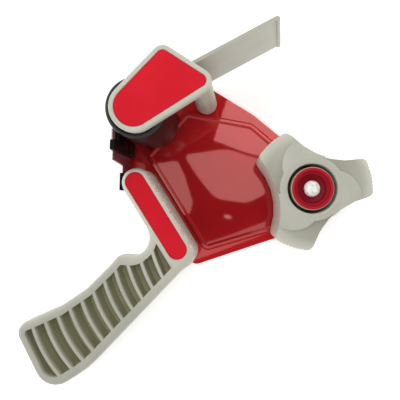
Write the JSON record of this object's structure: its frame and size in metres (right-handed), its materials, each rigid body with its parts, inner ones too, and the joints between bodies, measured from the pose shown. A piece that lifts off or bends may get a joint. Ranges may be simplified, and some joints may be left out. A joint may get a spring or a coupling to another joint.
{
  "type": "handheld tape dispenser",
  "caption": "Pistol-grip carton tape dispenser with a pressed steel side plate, a lobed tape hub with a brake knob, a rubber roller, a toothed cutter and a sprung tape flap.",
  "frame": {"origin": "where the axis of the tape hub meets the surface the dispenser lies on, which is the outer face of its side plate", "axes": "+Z along the hub and roller axes away from the side plate, +X along the bridge of the handle, -Y towards the butt of the grip"},
  "size_m": [0.1485, 0.2587, 0.0652],
  "materials": {
    "red_plate": "glossy red enamel",
    "grey_plastic": "moulded warm light grey",
    "red_insert": "bare red insert",
    "knob_plastic": "dark red moulded",
    "zinc": "zinc plated",
    "blade_steel": "bright toothed strip",
    "spring_steel": "oiled wire",
    "black_plastic": "black moulded",
    "rubber": "black roller rubber",
    "fibre": "brown friction fibre",
    "bush_plastic": "natural bearing plastic"
  },
  "bodies": {
    "frame": {"side_plate": "red_plate", "handle": "grey_plastic", "handle_insert": "red_insert", "handle_screws": "zinc", "cutter_blade": "blade_steel", "edge_guard": "black_plastic", "blade_holder": "black_plastic", "blade_screws": "zinc", "blade_nuts": "zinc", "roller_axle": "zinc", "roller_washer": "zinc", "flap_washer": "zinc", "flap_screw": "zinc", "hub_stud": "zinc", "friction_washer": "fibre"},
    "roller": {"roller_core": "black_plastic", "roller_sleeve": "rubber"},
    "flap": {"tape_flap": "grey_plastic", "guide_post": "grey_plastic", "tape_tongue": "grey_plastic", "flap_insert": "red_insert", "flap_spring": "spring_steel"},
    "hub": {"tape_hub": "grey_plastic", "hub_cup": "grey_plastic", "hub_bush": "bush_plastic", "brake_spring": "spring_steel"},
    "pressure": {"pressure_washer": "zinc"},
    "knob": {"brake_knob": "knob_plastic", "knob_nut": "zinc"}
  },
  "joints": [
    {"name": "roller_spin", "type": "hinge", "parent": "frame", "child": "roller", "pos_m": [-0.0964, -0.0645, 0.032], "axis": [0, 0, 1], "continuous": true},
    {"name": "flap_swing", "type": "hinge", "parent": "frame", "child": "flap", "pos_m": [-0.0964, -0.0645, 0.06], "axis": [0, 0, 1], "range_deg": [0, 40], "stiffness_Nm_per_rad": 0.05},
    {"name": "hub_spin", "type": "hinge", "parent": "frame", "child": "hub", "pos_m": [0, 0, 0.016], "axis": [0, 0, 1], "continuous": true},
    {"name": "washer_slide", "type": "slide", "parent": "frame", "child": "pressure", "axis": [0, 0, -1], "range_m": [0, 0.002], "deforming": ["brake_spring"]},
    {"name": "knob_turn", "type": "hinge", "parent": "pressure", "child": "knob", "pos_m": [0, 0, 0.046], "axis": [0, 0, -1], "range_deg": [0, 720]}
  ],
  "couplings": [
    {"joint": "knob_turn", "follows": "washer_slide", "rad_per_m": 6283.2}
  ]
}
